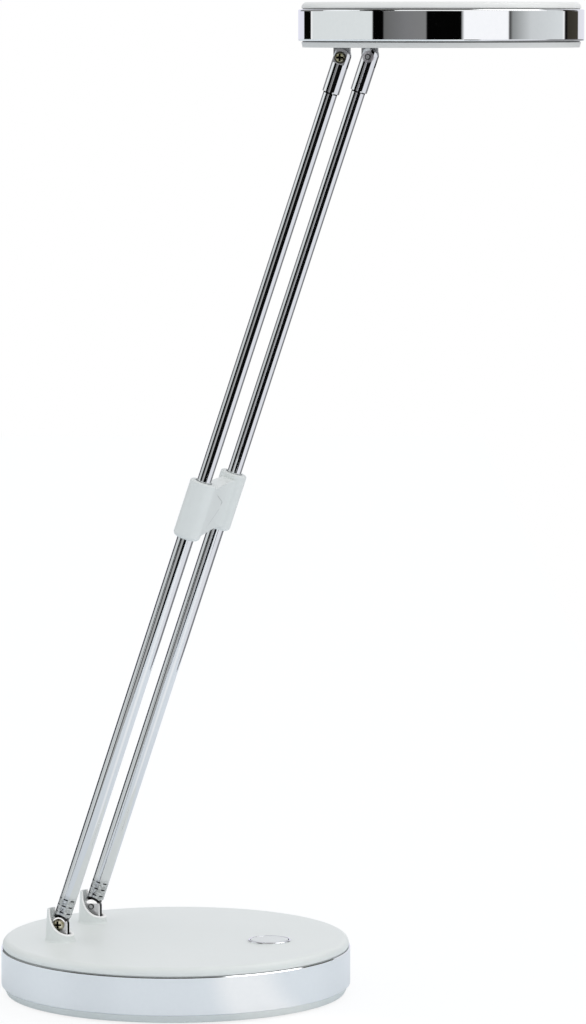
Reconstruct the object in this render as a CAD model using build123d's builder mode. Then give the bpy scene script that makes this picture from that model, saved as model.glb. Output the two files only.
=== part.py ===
"""Folding LED desk lamp: round weighted base, two telescopic arms side by side, flat round head.

Millimetres. The origin is the centre of the base on the desk, +Z is up, +X is the way the arms lean
and +Y is the hinge axis, away from the side where the near arm stands.
"""

import os
from math import cos, radians, sin, sqrt

from build123d import *

os.makedirs("parts", exist_ok=True)

# Base: outside
base_radius = 62.0  # outside of the chromed band
base_height = 19.6  # desk to the flat top of the cover
band_lift = 3.1  # desk to the lower edge of the band
band_wall = 1.0
shadow_gap = 0.4  # open line between the band and the cover's rim
rim_height = 2.8  # cover's rim above that line
rim_inset = 0.5  # the cover's rim stands inside the band's face
rim_round = 2.3
flange_inset = 0.4  # the bottom shell's flange stands inside the band's face
flange_bevel = 1.4

# Base: walls and inside
cover_wall = 2.2
skirt_wall = 1.8
skirt_depth = 5.0  # cover's skirt below the band's upper edge
spigot_height = 3.2  # bottom shell's wall inside the band
pad_inset = 6.0  # edge of the pad inside the band's face
pad_thickness = 1.2
pad_stand = 0.4  # the pad stands this far below the shell
ballast_inset = 17.0
shell_screw_inset = 9.0
ballast_screw_inset = 20.0  # inside the ballast's edge
boss_wall = 2.0
small_boss_wall = 1.4
pillar_height = 3.0

# Screws: countersunk M3 in the base and M2.5 in the head, pan-head M2 elsewhere
m3_radius = 1.5
m3_head_radius = 2.8
m25_radius = 1.25
m25_head_radius = 2.3
m2_radius = 1.0
m2_head_radius = 2.1
m2_head_height = 1.2
recess_length = 2.6  # cross recess
recess_width = 0.7
recess_depth = 0.6
shell_screw_length = 11.0
ballast_screw_length = 6.0
board_screw_length = 5.0
short_screw_length = 3.4
screw_bite = 1.6  # short screws in the head's plastic

# Hinge at the base
hinge_inset = 24.9  # hinge axis inside the band's face
hinge_rise = 5.95  # hinge axis above the cover
arm_half_spacing = 18.85
cup_radius = 5.1  # at the foot
cup_draft = 3.0  # degrees
cup_wall = 1.4  # at the foot
cup_rise = 5.4  # back wall of the cup above the hinge axis
cup_foot_round = 0.8
lip_round = 0.3
scoop_radius = 8.55
scoop_forward = 5.8  # centre of the scoop from the hinge axis
scoop_up = 4.9
cheek_radius = 3.1  # half width and rounded top of a bracket's cheek
cheek_round = 0.6  # outer edge of a cheek
sheet = 0.8  # bracket steel
tongue_thickness = 1.6
tongue_width = 5.0
bracket_foot_length = 23.0
bracket_foot_width = 6.4
bracket_screw_reach = 8.0
bracket_drop = 12.35  # hinge axis to the underside of the bracket

# Arms
lean = 18.63  # degrees from upright
arm_length = 322.35  # hinge axis to head axis
outer_radius = 3.0
outer_wall = 0.4
outer_top = 163.5  # along the arm from the hinge axis
outer_foot = 1.7
inner_radius = 2.5
inner_wall = 0.4
lip_height = 1.4  # rolled mouth of the outer tube
plug_top = 18.0
crimp_first = 4.6
crimp_pitch = 2.4
crimp_rings = 3
crimp_slots = 7
crimp_depth = 0.2
crimp_length = 1.7
crimp_height = 0.45
sleeve_length = 16.0
sleeve_spigot = 8.0
sleeve_bore = 1.2

# Clip that holds the two outer tubes
clip_bottom = 146.2
clip_length = 20.9
clip_radius = 4.75
clip_foot_round = 1.5
clip_top_round = 0.6
web_thickness = 4.5
web_inset = 1.8
web_round = 2.0  # hollow between the web and a barrel
web_fall = 26.0  # run of the sloped front, from the near barrel's axis
thumb_reach = 25.5  # raised tongue on the web, from the near barrel's axis to its sharp tip
thumb_up = 1.0  # tip above the middle of the web
thumb_round = 2.0
thumb_raise = 0.4

# Head hinge
ferrule_radius = 3.0
ferrule_drop = 12.6  # below the head axis
ferrule_socket = 7.0  # depth of the inner tube in the ferrule
tab_thickness = 1.6
tab_width = 5.7
tab_foot_length = 8.6
tab_screw_out = 6.0
tab_foot_thickness = 1.2
flat_depth = 0.8  # flat under each screw head
punch_radius = 0.55  # lock mark punched in a ferrule's lower edge
punch_turn = -55.0  # degrees from forward

# Head
head_forward = 30.25  # head's centre ahead of its hinge axis
head_rise = 3.4  # underside of the head above its hinge axis
head_radius = 49.2  # outside of the chromed band
head_band_height = 10.8
head_band_wall = 1.9
head_band_round = 0.4
head_inset = 1.1  # lower ring and top cover stand inside the band's face
groove_height = 0.4  # dark line between the band and its neighbours
groove_depth = 0.4
ring_edge = 2.2  # visible height of the lower ring
ring_taper = 0.4
crown = 2.5  # top cover above the band
crown_round = 1.9
head_wall = 2.0
head_skirt_wall = 1.6
head_skirt_depth = 3.5
diffuser_radius = 30.0
diffuser_thickness = 1.6
diffuser_inset = 0.2
ledge_width = 5.6  # ring behind the diffuser that carries the LED board
ledge_thickness = 2.2
led_board_thickness = 1.6
led_board_inset = 1.0
led_length = 3.5
led_width = 2.8
led_height = 0.8
led_inner_ring = 9.0
led_inner_count = 8
led_outer_ring = 17.5
led_outer_count = 16
head_screw_ring_inset = 2.8
head_screw_length = 7.0
head_lead_rise = 4.0
head_lead_back = 21.0
head_lead_side = 12.0

# Button and its switch
button_inset = 27.4  # button's axis inside the band's face
button_radius = 6.6
button_stand = 0.3  # cap above the ring
button_flange = 1.0
button_flange_height = 0.8
button_skin = 1.4
button_wall = 1.2
button_travel = 1.0
ring_radius = 7.65
ring_rise = 0.6
ring_wall = 0.45
ring_tail = 0.4  # ring below the cover's underside
board_length = 26.0
board_width = 30.0
board_thickness = 1.6
board_drop = 5.0  # cover's underside to the board's upper face
board_clear = 1.7  # board above the ballast
board_screw_inset = 3.2
switch_width = 6.2
switch_height = 2.2
plunger_radius = 1.7
plunger_depth = 1.0  # in the switch when up
plunger_stand = 1.4

# DC inlet at the back of the base, for a plug of 5.5 mm with a 2.1 mm bore
jack_length = 12.5
jack_width = 9.0
jack_height = 9.4
jack_nose_radius = 4.3
jack_bore = 3.15
jack_bore_depth = 9.5
jack_pin_radius = 1.0
jack_pin_length = 9.0
jack_pin_root = 0.7  # radius in the housing's back
jack_recess = 0.6  # face of the inlet inside the band's face
lead_radius = 0.45
lead_bend = 2.7

# Fits
fit = 0.05  # pieces that are pushed together and stay
running = 0.1  # each side of a tongue or tab that turns
pin_running = 0.05
slide_running = 0.04  # tube in tube
button_running = 0.2
swing_gap = 0.3  # pieces that pass each other
assembly_gap = 0.15  # spigots and loose seats

# Heights and radii that follow in the base
rim_bottom = base_height - rim_height
band_top = rim_bottom - shadow_gap
band_height = band_top - band_lift
cover_under = base_height - cover_wall
floor_top = band_lift
board_top = cover_under - board_drop
board_bottom = board_top - board_thickness
ballast_thickness = board_bottom - board_clear - floor_top
pad_radius = base_radius - pad_inset
ballast_radius = base_radius - ballast_inset
ballast_screw_ring = ballast_radius - ballast_screw_inset
shell_screw_ring = base_radius - shell_screw_inset
button_forward = base_radius - button_inset
switch_top = board_top + switch_height
plunger_top = switch_top + plunger_stand
pillar_top = floor_top + pillar_height
spigot_radius = base_radius - band_wall - assembly_gap
skirt_inner = spigot_radius - skirt_wall
m3_hole = m3_radius + fit
m3_boss = m3_hole + boss_wall
m2_hole = m2_radius + fit
m2_boss = m2_hole + small_boss_wall

# Hinge and arm places
hinge_x = hinge_inset - base_radius
hinge_z = base_height + hinge_rise
lean_sin = sin(radians(lean))
lean_cos = cos(radians(lean))
head_axis_x = hinge_x + arm_length * lean_sin
head_axis_z = hinge_z + arm_length * lean_cos
arms = (("near", -1), ("far", 1))  # side and the way its screw heads face along Y
hinge_spots = [(hinge_x, facing * arm_half_spacing) for side, facing in arms]
bracket_under = hinge_z - bracket_drop
bracket_top = bracket_under + sheet
cheek_inner = tongue_thickness / 2 + running
cheek_outer = cheek_inner + sheet
bracket_screw_spots = [
    (x + reach, y)
    for x, y in hinge_spots
    for reach in (-bracket_screw_reach, bracket_screw_reach)
]

# Inlet places
jack_z = band_lift + band_height / 2
jack_face = base_radius - jack_recess
jack_shoulder = sqrt(skirt_inner**2 - (jack_width / 2) ** 2) - assembly_gap
jack_back = jack_face - jack_length
jack_plane = Plane(origin=(-jack_face, 0, jack_z), x_dir=(0, 1, 0), z_dir=(1, 0, 0))

# Screw places in the base
shell_screw_angles = (45, 135, 225, 315)
shell_screw_spots = [
    (shell_screw_ring * cos(radians(angle)), shell_screw_ring * sin(radians(angle)))
    for angle in shell_screw_angles
]
ballast_screw_spots = [
    (ballast_screw_ring * cos(radians(angle)), ballast_screw_ring * sin(radians(angle)))
    for angle in (0, 120, 240)
]
board_screw_spots = [
    (
        button_forward + sign_x * (board_length / 2 - board_screw_inset),
        sign_y * (board_width / 2 - board_screw_inset),
    )
    for sign_x in (-1, 1)
    for sign_y in (-1, 1)
]
button_axis = Axis((button_forward, 0, 0), (0, 0, 1))
button_plane = Plane(origin=(button_forward, 0, 0), x_dir=(1, 0, 0), z_dir=(0, -1, 0))

# Places along the arms, from the hinge axis
outer_bore = outer_radius - outer_wall
end_clear = cheek_radius + swing_gap  # the tube's arched end round the bracket
plug_bottom = end_clear + swing_gap
sleeve_top = outer_top - lip_height - swing_gap
ferrule_bottom = arm_length - ferrule_drop
slot_half = tab_thickness / 2 + running
slot_depth = tab_width / 2 + swing_gap  # below the head axis
screw_seat = ferrule_radius - flat_depth

# Heights and radii that follow in the head
head_x = head_axis_x + head_forward
head_under = head_axis_z + head_rise
ring_plate_top = head_under + head_wall
head_band_bottom = head_under + ring_edge
head_band_top = head_band_bottom + head_band_height
head_top = head_band_top + crown
head_cover_under = head_top - head_wall
head_rim_radius = head_radius - head_inset
head_spigot = head_radius - head_band_wall - assembly_gap
groove_radius = head_rim_radius - groove_depth
head_spigot_inner = head_spigot - head_skirt_wall
diffuser_seat = head_under + diffuser_inset + diffuser_thickness
diffuser_opening = diffuser_radius + assembly_gap
ledge_top = diffuser_seat + ledge_thickness
ledge_inner = diffuser_radius - ledge_width
led_board_top = ledge_top + led_board_thickness
tab_foot_top = ring_plate_top + tab_foot_thickness
tab_screw_length = tab_foot_thickness + screw_bite
led_screw_length = led_board_thickness + screw_bite
m25_hole = m25_radius + fit
m25_boss = m25_hole + small_boss_wall
head_axis = Axis((head_x, 0, 0), (0, 0, 1))
head_plane = Plane(origin=(head_x, 0, 0), x_dir=(1, 0, 0), z_dir=(0, -1, 0))
head_screw_ring = diffuser_radius - head_screw_ring_inset
head_screw_spots = [
    (head_x + head_screw_ring * cos(radians(angle)), head_screw_ring * sin(radians(angle)))
    for angle in (0, 120, 240)
]
led_screw_spots = [
    (head_x + head_screw_ring * cos(radians(angle)), head_screw_ring * sin(radians(angle)))
    for angle in (60, 180, 300)
]
tab_screw_spots = [
    (head_axis_x, facing * (arm_half_spacing + tab_screw_out)) for side, facing in arms
]


def arm_plane(facing, along):
    """Plane across one arm, its normal up the arm and its X forward, at a distance from the hinge."""
    return Plane(
        origin=(
            hinge_x + along * lean_sin,
            facing * arm_half_spacing,
            hinge_z + along * lean_cos,
        ),
        x_dir=(lean_cos, 0, -lean_sin),
        z_dir=(lean_sin, 0, lean_cos),
    )


def arm_side(facing):
    """Plane along one arm, through the hinge axis, with X forward and Y up the arm."""
    return Plane(
        origin=(hinge_x, facing * arm_half_spacing, hinge_z),
        x_dir=(lean_cos, 0, -lean_sin),
        z_dir=(0, -1, 0),
    )


def upright_side(x, y, z):
    """Upright plane that faces -Y, with X forward and Y up."""
    return Plane(origin=(x, y, z), x_dir=(1, 0, 0), z_dir=(0, -1, 0))


def outward(x, y, z, facing):
    """Plane across the hinge axis that faces out from one arm."""
    return Plane(origin=(x, y, z), x_dir=(1, 0, 0), z_dir=(0, facing, 0))


def downward(x, y, z):
    """Plane that faces down."""
    return Plane(origin=(x, y, z), x_dir=(1, 0, 0), z_dir=(0, 0, -1))


def pan_screw(length):
    """Cross-recess pan-head screw with its seat on XY and its shank down -Z."""
    with BuildPart() as screw:
        with BuildSketch(Plane.XZ):
            with BuildLine():
                TangentArc(
                    (0, m2_head_height),
                    (m2_head_radius, m2_head_height / 3),
                    tangent=(1, 0),
                )
                Polyline(
                    (m2_head_radius, m2_head_height / 3),
                    (m2_head_radius, 0),
                    (m2_radius, 0),
                    (m2_radius, -length),
                    (0, -length),
                    (0, m2_head_height),
                )
            make_face()
        revolve(axis=Axis.Z)
        with BuildSketch(Plane.XY.offset(m2_head_height)):
            Rectangle(recess_length, recess_width)
            Rectangle(recess_width, recess_length)
        extrude(amount=-recess_depth, mode=Mode.SUBTRACT)
    return screw.part


def countersunk_screw(length, radius, head_radius):
    """Countersunk screw with the top of its head on XY and its shank down -Z."""
    with BuildPart() as screw:
        with BuildSketch(Plane.XZ):
            with BuildLine():
                Polyline(
                    (0, 0),
                    (head_radius, 0),
                    (radius, radius - head_radius),
                    (radius, -length),
                    (0, -length),
                    close=True,
                )
            make_face()
        revolve(axis=Axis.Z)
        with BuildSketch(Plane.XY):
            Rectangle(recess_length, recess_width)
            Rectangle(recess_width, recess_length)
        extrude(amount=-recess_depth, mode=Mode.SUBTRACT)
    return screw.part


def lead(points):
    """Insulated wire along straight runs joined by arcs, with square ends."""
    with BuildPart() as wire:
        with BuildLine() as path:
            FilletPolyline(*points, radius=lead_bend)
        with BuildSketch(Plane(origin=path.line @ 0, z_dir=path.line % 0)):
            Circle(lead_radius)
        sweep(path=path.line)
    return wire.part


def on_scoop(point, middle):
    """Whether a point lies on the scoop that is cut through the hinge cups."""
    reach = sqrt((point.X - middle.X) ** 2 + (point.Z - middle.Z) ** 2)
    return abs(reach - scoop_radius) < fit / 10


def keep(builder, name):
    """Label one finished piece and write its file."""
    builder.part.label = name
    export_step(builder.part, f"parts/{name}.step")


# Rubber pad under the base, the face that stands on the desk
with BuildPart() as anti_slip_pad:
    with BuildSketch():
        Circle(pad_radius)
    extrude(amount=pad_thickness)
    chamfer(anti_slip_pad.edges().group_by(Axis.Z)[0], pad_stand / 2)
keep(anti_slip_pad, "anti_slip_pad")

# Bottom shell: bevelled foot, seat for the pad, spigot inside the band, pillars and inlet saddle
with BuildPart() as base_bottom_shell:
    flange_radius = base_radius - flange_inset
    spigot_inner = spigot_radius - skirt_wall
    with BuildSketch(Plane.XZ):
        with BuildLine():
            Polyline(
                (0, pad_thickness),
                (pad_radius + assembly_gap, pad_thickness),
                (pad_radius + assembly_gap, pad_stand),
                (flange_radius - flange_bevel, pad_stand),
                (flange_radius, band_lift),
                (spigot_radius, band_lift),
                (spigot_radius, floor_top + spigot_height),
                (spigot_inner, floor_top + spigot_height),
                (spigot_inner, floor_top),
                (0, floor_top),
                close=True,
            )
        make_face()
    revolve(axis=Axis.Z)
    with BuildSketch(Plane.XY.offset(floor_top)):
        with Locations(*shell_screw_spots):
            Circle(m3_boss)
    extrude(amount=pillar_height)
    with BuildSketch(Plane.XY.offset(floor_top)):
        with Locations((-(jack_shoulder + jack_back) / 2, 0)):
            Rectangle(jack_shoulder - jack_back, jack_width)
    extrude(amount=jack_z - jack_height / 2 - floor_top)
    with BuildSketch(jack_plane):
        Circle(jack_nose_radius + assembly_gap)
    extrude(amount=jack_face - jack_shoulder, mode=Mode.SUBTRACT)
    for x, y in shell_screw_spots + ballast_screw_spots:
        with Locations(downward(x, y, pad_thickness)):
            CounterSinkHole(m3_hole, m3_head_radius + fit, counter_sink_angle=90)
keep(base_bottom_shell, "base_bottom_shell")

# Steel ballast plate on the shell's floor
with BuildPart() as ballast_plate:
    with BuildSketch(Plane.XY.offset(floor_top)):
        Circle(ballast_radius)
        with Locations(*ballast_screw_spots):
            Circle(m3_hole, mode=Mode.SUBTRACT)
    extrude(amount=ballast_thickness)
    chamfer(ballast_plate.edges().group_by(Axis.Z)[-1].sort_by(SortBy.RADIUS)[-1], assembly_gap)
keep(ballast_plate, "ballast_plate")

# Screws under the pad: through the shell into the ballast, and into the cover's bosses
with BuildPart() as ballast_screws:
    with Locations(*[downward(x, y, pad_thickness) for x, y in ballast_screw_spots]):
        add(countersunk_screw(ballast_screw_length, m3_radius, m3_head_radius))
keep(ballast_screws, "ballast_screws")

with BuildPart() as base_screws:
    with Locations(*[downward(x, y, pad_thickness) for x, y in shell_screw_spots]):
        add(countersunk_screw(shell_screw_length, m3_radius, m3_head_radius))
keep(base_screws, "base_screws")

# Chromed band with a round hole for the inlet
with BuildPart() as base_chrome_band:
    with BuildSketch(Plane.XY.offset(band_lift)):
        Circle(base_radius)
        Circle(base_radius - band_wall, mode=Mode.SUBTRACT)
    extrude(amount=band_height)
    band_rims = base_chrome_band.edges().filter_by(GeomType.CIRCLE).sort_by(SortBy.RADIUS)
    chamfer(band_rims[-2:], band_wall / 4)
    with BuildSketch(jack_plane.offset(-jack_recess)):
        Circle(jack_nose_radius + assembly_gap)
    extrude(amount=jack_face - jack_shoulder, mode=Mode.SUBTRACT)
keep(base_chrome_band, "base_chrome_band")

# Top cover: flat plate with a rounded rim, skirt inside the band, two scooped hinge cups, bosses
with BuildPart() as base_top_cover:
    rim_radius = base_radius - rim_inset
    with BuildSketch(Plane.XZ) as cover_profile:
        with BuildLine():
            Polyline(
                (0, cover_under),
                (skirt_inner, cover_under),
                (skirt_inner, band_top - skirt_depth),
                (spigot_radius, band_top - skirt_depth),
                (spigot_radius, rim_bottom),
                (rim_radius, rim_bottom),
                (rim_radius, base_height),
                (0, base_height),
                close=True,
            )
        make_face()
        fillet(cover_profile.vertices().sort_by(Axis.Y)[-2:].sort_by(Axis.X)[-1], rim_round)
    revolve(axis=Axis.Z)
    with BuildSketch(Plane.XY.offset(base_height)):
        with Locations(*hinge_spots):
            Circle(cup_radius)
    extrude(amount=hinge_rise + cup_rise, taper=cup_draft)
    cup_feet = base_top_cover.edges().filter_by(GeomType.CIRCLE)
    cup_feet = cup_feet.filter_by_position(Axis.Z, base_height, base_height)
    fillet(cup_feet.sort_by(SortBy.RADIUS)[:2], cup_foot_round)
    with BuildSketch(upright_side(hinge_x + scoop_forward, 0, hinge_z + scoop_up)):
        Circle(scoop_radius)
    extrude(amount=arm_half_spacing + 2 * cup_radius, both=True, mode=Mode.SUBTRACT)
    with BuildSketch(Plane.XY.offset(cover_under)):
        with Locations(*bracket_screw_spots):
            Circle(m2_boss)
    extrude(amount=bracket_top - cover_under)
    with BuildSketch(Plane.XY.offset(cover_under)):
        with Locations(*board_screw_spots):
            Circle(m2_boss)
    extrude(amount=board_top - cover_under)
    with BuildSketch(Plane.XY.offset(cover_under)):
        with Locations(*shell_screw_spots):
            Circle(m3_boss)
    extrude(amount=pillar_top - cover_under)
    with BuildSketch(Plane.XY.offset(cover_under)):
        with Locations(*hinge_spots):
            Circle(cup_radius - cup_wall)
        with Locations((button_forward, 0)):
            Circle(button_radius + button_running + ring_wall + fit)
    extrude(amount=hinge_rise + cup_rise + cover_wall, mode=Mode.SUBTRACT)
    scoop_middle = Vector(hinge_x + scoop_forward, 0, hinge_z + scoop_up)
    cup_lips = [
        edge
        for edge in base_top_cover.edges()
        if all(on_scoop(edge @ place, scoop_middle) for place in (0, 0.5, 1))
    ]
    fillet(cup_lips, lip_round)
    for x, y in bracket_screw_spots:
        with Locations(downward(x, y, bracket_top)):
            Hole(m2_hole, depth=short_screw_length - sheet + fit)
    for x, y in board_screw_spots:
        with Locations(downward(x, y, board_top)):
            Hole(m2_hole, depth=board_screw_length - board_thickness + fit)
    for x, y in shell_screw_spots:
        with Locations(downward(x, y, pillar_top)):
            Hole(m3_hole, depth=shell_screw_length - (pillar_top - pad_thickness) + fit)
    with BuildSketch(jack_plane):
        Circle(jack_nose_radius + assembly_gap)
    extrude(amount=jack_face - jack_shoulder, mode=Mode.SUBTRACT)
keep(base_top_cover, "base_top_cover")

# DC inlet: housing with a round nose, and its centre pin through the housing's back
with BuildPart() as dc_jack:
    with BuildSketch(jack_plane):
        Circle(jack_nose_radius)
    extrude(amount=jack_length)
    with BuildSketch(jack_plane.offset(jack_face - jack_shoulder)):
        Rectangle(jack_width, jack_height)
    extrude(amount=jack_shoulder - jack_back)
    with BuildSketch(jack_plane):
        Circle(jack_bore)
    extrude(amount=jack_bore_depth, mode=Mode.SUBTRACT)
    with BuildSketch(jack_plane):
        Circle(jack_pin_root + fit)
    extrude(amount=jack_length, mode=Mode.SUBTRACT)
keep(dc_jack, "dc_jack")

with BuildPart() as inlet_pin:
    with BuildSketch(jack_plane.offset(jack_bore_depth)):
        Circle(jack_pin_radius)
    extrude(amount=-jack_pin_length)
    chamfer(inlet_pin.edges().group_by(Axis.X)[0], jack_pin_radius / 4)
    with BuildSketch(jack_plane.offset(jack_bore_depth)):
        Circle(jack_pin_root)
    extrude(amount=jack_length - jack_bore_depth)
keep(inlet_pin, "inlet_pin")

# Control board under the button, its screws and its push switch
with BuildPart() as control_board:
    with BuildSketch(Plane.XY.offset(board_bottom)):
        with Locations((button_forward, 0)):
            Rectangle(board_length, board_width)
        with Locations(*board_screw_spots):
            Circle(m2_hole, mode=Mode.SUBTRACT)
    extrude(amount=board_thickness)
keep(control_board, "control_board")

with BuildPart() as board_screws:
    with Locations(*[downward(x, y, board_bottom) for x, y in board_screw_spots]):
        add(pan_screw(board_screw_length))
keep(board_screws, "board_screws")

with BuildPart() as push_switch:
    with BuildSketch(Plane.XY.offset(board_top)):
        with Locations((button_forward, 0)):
            Rectangle(switch_width, switch_width)
    extrude(amount=switch_height)
    fillet(push_switch.edges().filter_by(Axis.Z), boss_wall / 4)
    with BuildSketch(Plane.XY.offset(switch_top)):
        with Locations((button_forward, 0)):
            Circle(plunger_radius + button_running)
    extrude(amount=-(plunger_depth + button_travel + assembly_gap), mode=Mode.SUBTRACT)
keep(push_switch, "push_switch")

with BuildPart() as switch_plunger:
    with BuildSketch(Plane.XY.offset(switch_top - plunger_depth)):
        with Locations((button_forward, 0)):
            Circle(plunger_radius)
    extrude(amount=plunger_depth + plunger_stand)
keep(switch_plunger, "switch_plunger")

# Chromed ring round the button
with BuildPart() as button_bezel:
    ring_bore = button_radius + button_running
    with BuildSketch(button_plane) as ring_profile:
        with BuildLine():
            Polyline(
                (ring_bore, cover_under - ring_tail),
                (ring_bore + ring_wall, cover_under - ring_tail),
                (ring_bore + ring_wall, base_height),
                (ring_radius, base_height),
                (ring_radius, base_height + ring_rise),
                (ring_bore, base_height + ring_rise),
                close=True,
            )
        make_face()
        fillet(ring_profile.vertices().sort_by(Axis.Y)[-2:], (ring_radius - ring_bore) / 2.5)
    revolve(axis=button_axis)
keep(button_bezel, "button_bezel")

# Button cap: crowned top, guide wall, flange that stops it under the ring, stem on the plunger
with BuildPart() as button_cap:
    cap_top = base_height + ring_rise + button_stand
    cap_inside = button_radius - button_wall
    flange_top = cover_under - ring_tail - swing_gap
    flange_bottom = flange_top - button_flange_height
    with BuildSketch(button_plane):
        with BuildLine():
            TangentArc((0, cap_top), (button_radius, cap_top - button_stand), tangent=(1, 0))
            Polyline(
                (button_radius, cap_top - button_stand),
                (button_radius, flange_top),
                (button_radius + button_flange, flange_top),
                (button_radius + button_flange, flange_bottom),
                (cap_inside, flange_bottom),
                (cap_inside, cap_top - button_stand - button_skin),
                (plunger_radius, cap_top - button_stand - button_skin),
                (plunger_radius, plunger_top),
                (0, plunger_top),
                (0, cap_top),
            )
        make_face()
    revolve(axis=button_axis)
keep(button_cap, "button_cap")

# Steel hinge brackets: two cheeks with round tops on a foot that is screwed under the cover
for side, facing in arms:
    y = facing * arm_half_spacing
    with BuildPart() as hinge_bracket:
        with BuildSketch(Plane.XY.offset(bracket_under)):
            with Locations((hinge_x, y)):
                SlotOverall(bracket_foot_length, bracket_foot_width)
            with Locations(*[spot for spot in bracket_screw_spots if spot[1] == y]):
                Circle(m2_hole, mode=Mode.SUBTRACT)
        extrude(amount=sheet)
        for cheek in (-1, 1):
            with BuildSketch(upright_side(hinge_x, y + cheek * (cheek_inner + cheek_outer) / 2, hinge_z)):
                Circle(cheek_radius)
                with Locations((0, (bracket_top - hinge_z) / 2)):
                    Rectangle(2 * cheek_radius, hinge_z - bracket_top)
                Circle(m2_hole, mode=Mode.SUBTRACT)
            extrude(amount=sheet / 2, both=True)
        cheek_faces = hinge_bracket.faces().filter_by(Axis.Y).sort_by(SortBy.AREA)[-4:].sort_by(Axis.Y)
        for cheek_face in (cheek_faces[0], cheek_faces[-1]):
            fillet(cheek_face.outer_wire().edges().filter_by(Axis.X, reverse=True), cheek_round)
    keep(hinge_bracket, f"hinge_bracket_{side}")

    with BuildPart() as base_pivot_screw:
        with Locations(outward(hinge_x, y + facing * cheek_outer, hinge_z, facing)):
            add(pan_screw(2 * cheek_outer + m2_radius / 2))
    keep(base_pivot_screw, f"base_pivot_screw_{side}")

with BuildPart() as bracket_screws:
    with Locations(*[downward(x, y, bracket_under) for x, y in bracket_screw_spots]):
        add(pan_screw(short_screw_length))
keep(bracket_screws, "bracket_screws")

# Leads inside the base: inlet to board, and board to the two brackets
board_edge = button_forward - board_length / 2
board_middle = board_bottom + board_thickness / 2
lead_run = board_edge / 3  # straight stretch at each end of a lead
with BuildPart() as inlet_leads:
    for sign in (-1, 1):
        add(
            lead(
                [
                    (-jack_back, sign * jack_bore, board_middle),
                    (-jack_back + lead_run, sign * jack_bore, board_middle),
                    (board_edge - lead_run, sign * jack_bore / 2, board_middle),
                    (board_edge, sign * jack_bore / 2, board_middle),
                ]
            )
        )
keep(inlet_leads, "inlet_leads")

with BuildPart() as arm_leads:
    for x, y in hinge_spots:
        foot_end = x + bracket_foot_length / 2
        add(
            lead(
                [
                    (foot_end, y, (bracket_under + bracket_top) / 2),
                    (foot_end + lead_run, y, (bracket_under + bracket_top) / 2),
                    (board_edge - lead_run, y / 3, board_middle),
                    (board_edge, y / 3, board_middle),
                ]
            )
        )
keep(arm_leads, "arm_leads")

# Lower arms: outer tubes with arched, crimped feet and rolled mouths, and the tongues in their feet
for side, facing in arms:
    with BuildPart() as foot_tongue:
        with BuildSketch(arm_side(facing)):
            Circle(tongue_width / 2)
            with Locations((0, plug_bottom / 2)):
                Rectangle(tongue_width, plug_bottom)
            Circle(m2_radius + pin_running, mode=Mode.SUBTRACT)
        extrude(amount=tongue_thickness / 2, both=True)
        with BuildSketch(arm_plane(facing, plug_bottom)):
            Circle(outer_bore - fit)
        extrude(amount=plug_top - plug_bottom)
    keep(foot_tongue, f"foot_tongue_{side}")

    with BuildPart() as outer_tube:
        with BuildSketch(arm_plane(facing, outer_foot)):
            Circle(outer_radius)
            Circle(outer_bore, mode=Mode.SUBTRACT)
        extrude(amount=outer_top - outer_foot)
        with BuildSketch(arm_plane(facing, outer_top - lip_height)):
            Circle(outer_bore)
            Circle(inner_radius + slide_running, mode=Mode.SUBTRACT)
        extrude(amount=lip_height)
        with BuildSketch(arm_side(facing)):
            Circle(end_clear)
        extrude(amount=2 * outer_radius, both=True, mode=Mode.SUBTRACT)
        with BuildSketch(arm_plane(facing, 0)):
            with Locations((outer_radius, 0)):
                Rectangle(2 * outer_radius, 2 * (cheek_outer + swing_gap))
        extrude(amount=end_clear, mode=Mode.SUBTRACT)
        for ring in range(crimp_rings):
            with BuildSketch(arm_plane(facing, crimp_first + ring * crimp_pitch)):
                with PolarLocations(outer_radius, crimp_slots, start_angle=-90):
                    Rectangle(2 * crimp_depth, crimp_length)
            extrude(amount=crimp_height, mode=Mode.SUBTRACT)
    keep(outer_tube, f"outer_tube_{side}")

# Clip: a barrel on each outer tube, joined by a web whose front slopes down from the near barrel
# and carries a raised thumb tongue that starts level with the barrel's face
clip_plane = arm_plane(0, clip_bottom)
web_middle = arm_plane(0, clip_bottom + clip_length / 2)
web_length = clip_length - 2 * web_inset
web_front = web_thickness / 2
with BuildPart() as thumb:
    with BuildSketch(Plane(origin=web_middle.origin, x_dir=(0, 1, 0), z_dir=web_middle.x_dir)) as thumb_face:
        with BuildLine():
            Polyline(
                (-arm_half_spacing, -web_length / 2),
                (thumb_reach - arm_half_spacing, thumb_up),
                (-arm_half_spacing, web_length / 2),
                close=True,
            )
        make_face()
        fillet(thumb_face.vertices().sort_by(Axis.X)[-1], thumb_round)
    extrude(amount=clip_radius)
    with BuildSketch(clip_plane):
        with BuildLine():
            Polyline(
                (0, -arm_half_spacing),
                (clip_radius, -arm_half_spacing),
                (web_front + thumb_raise, web_fall - arm_half_spacing),
                (0, web_fall - arm_half_spacing),
                close=True,
            )
        make_face()
    extrude(amount=clip_length, mode=Mode.INTERSECT)

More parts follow.
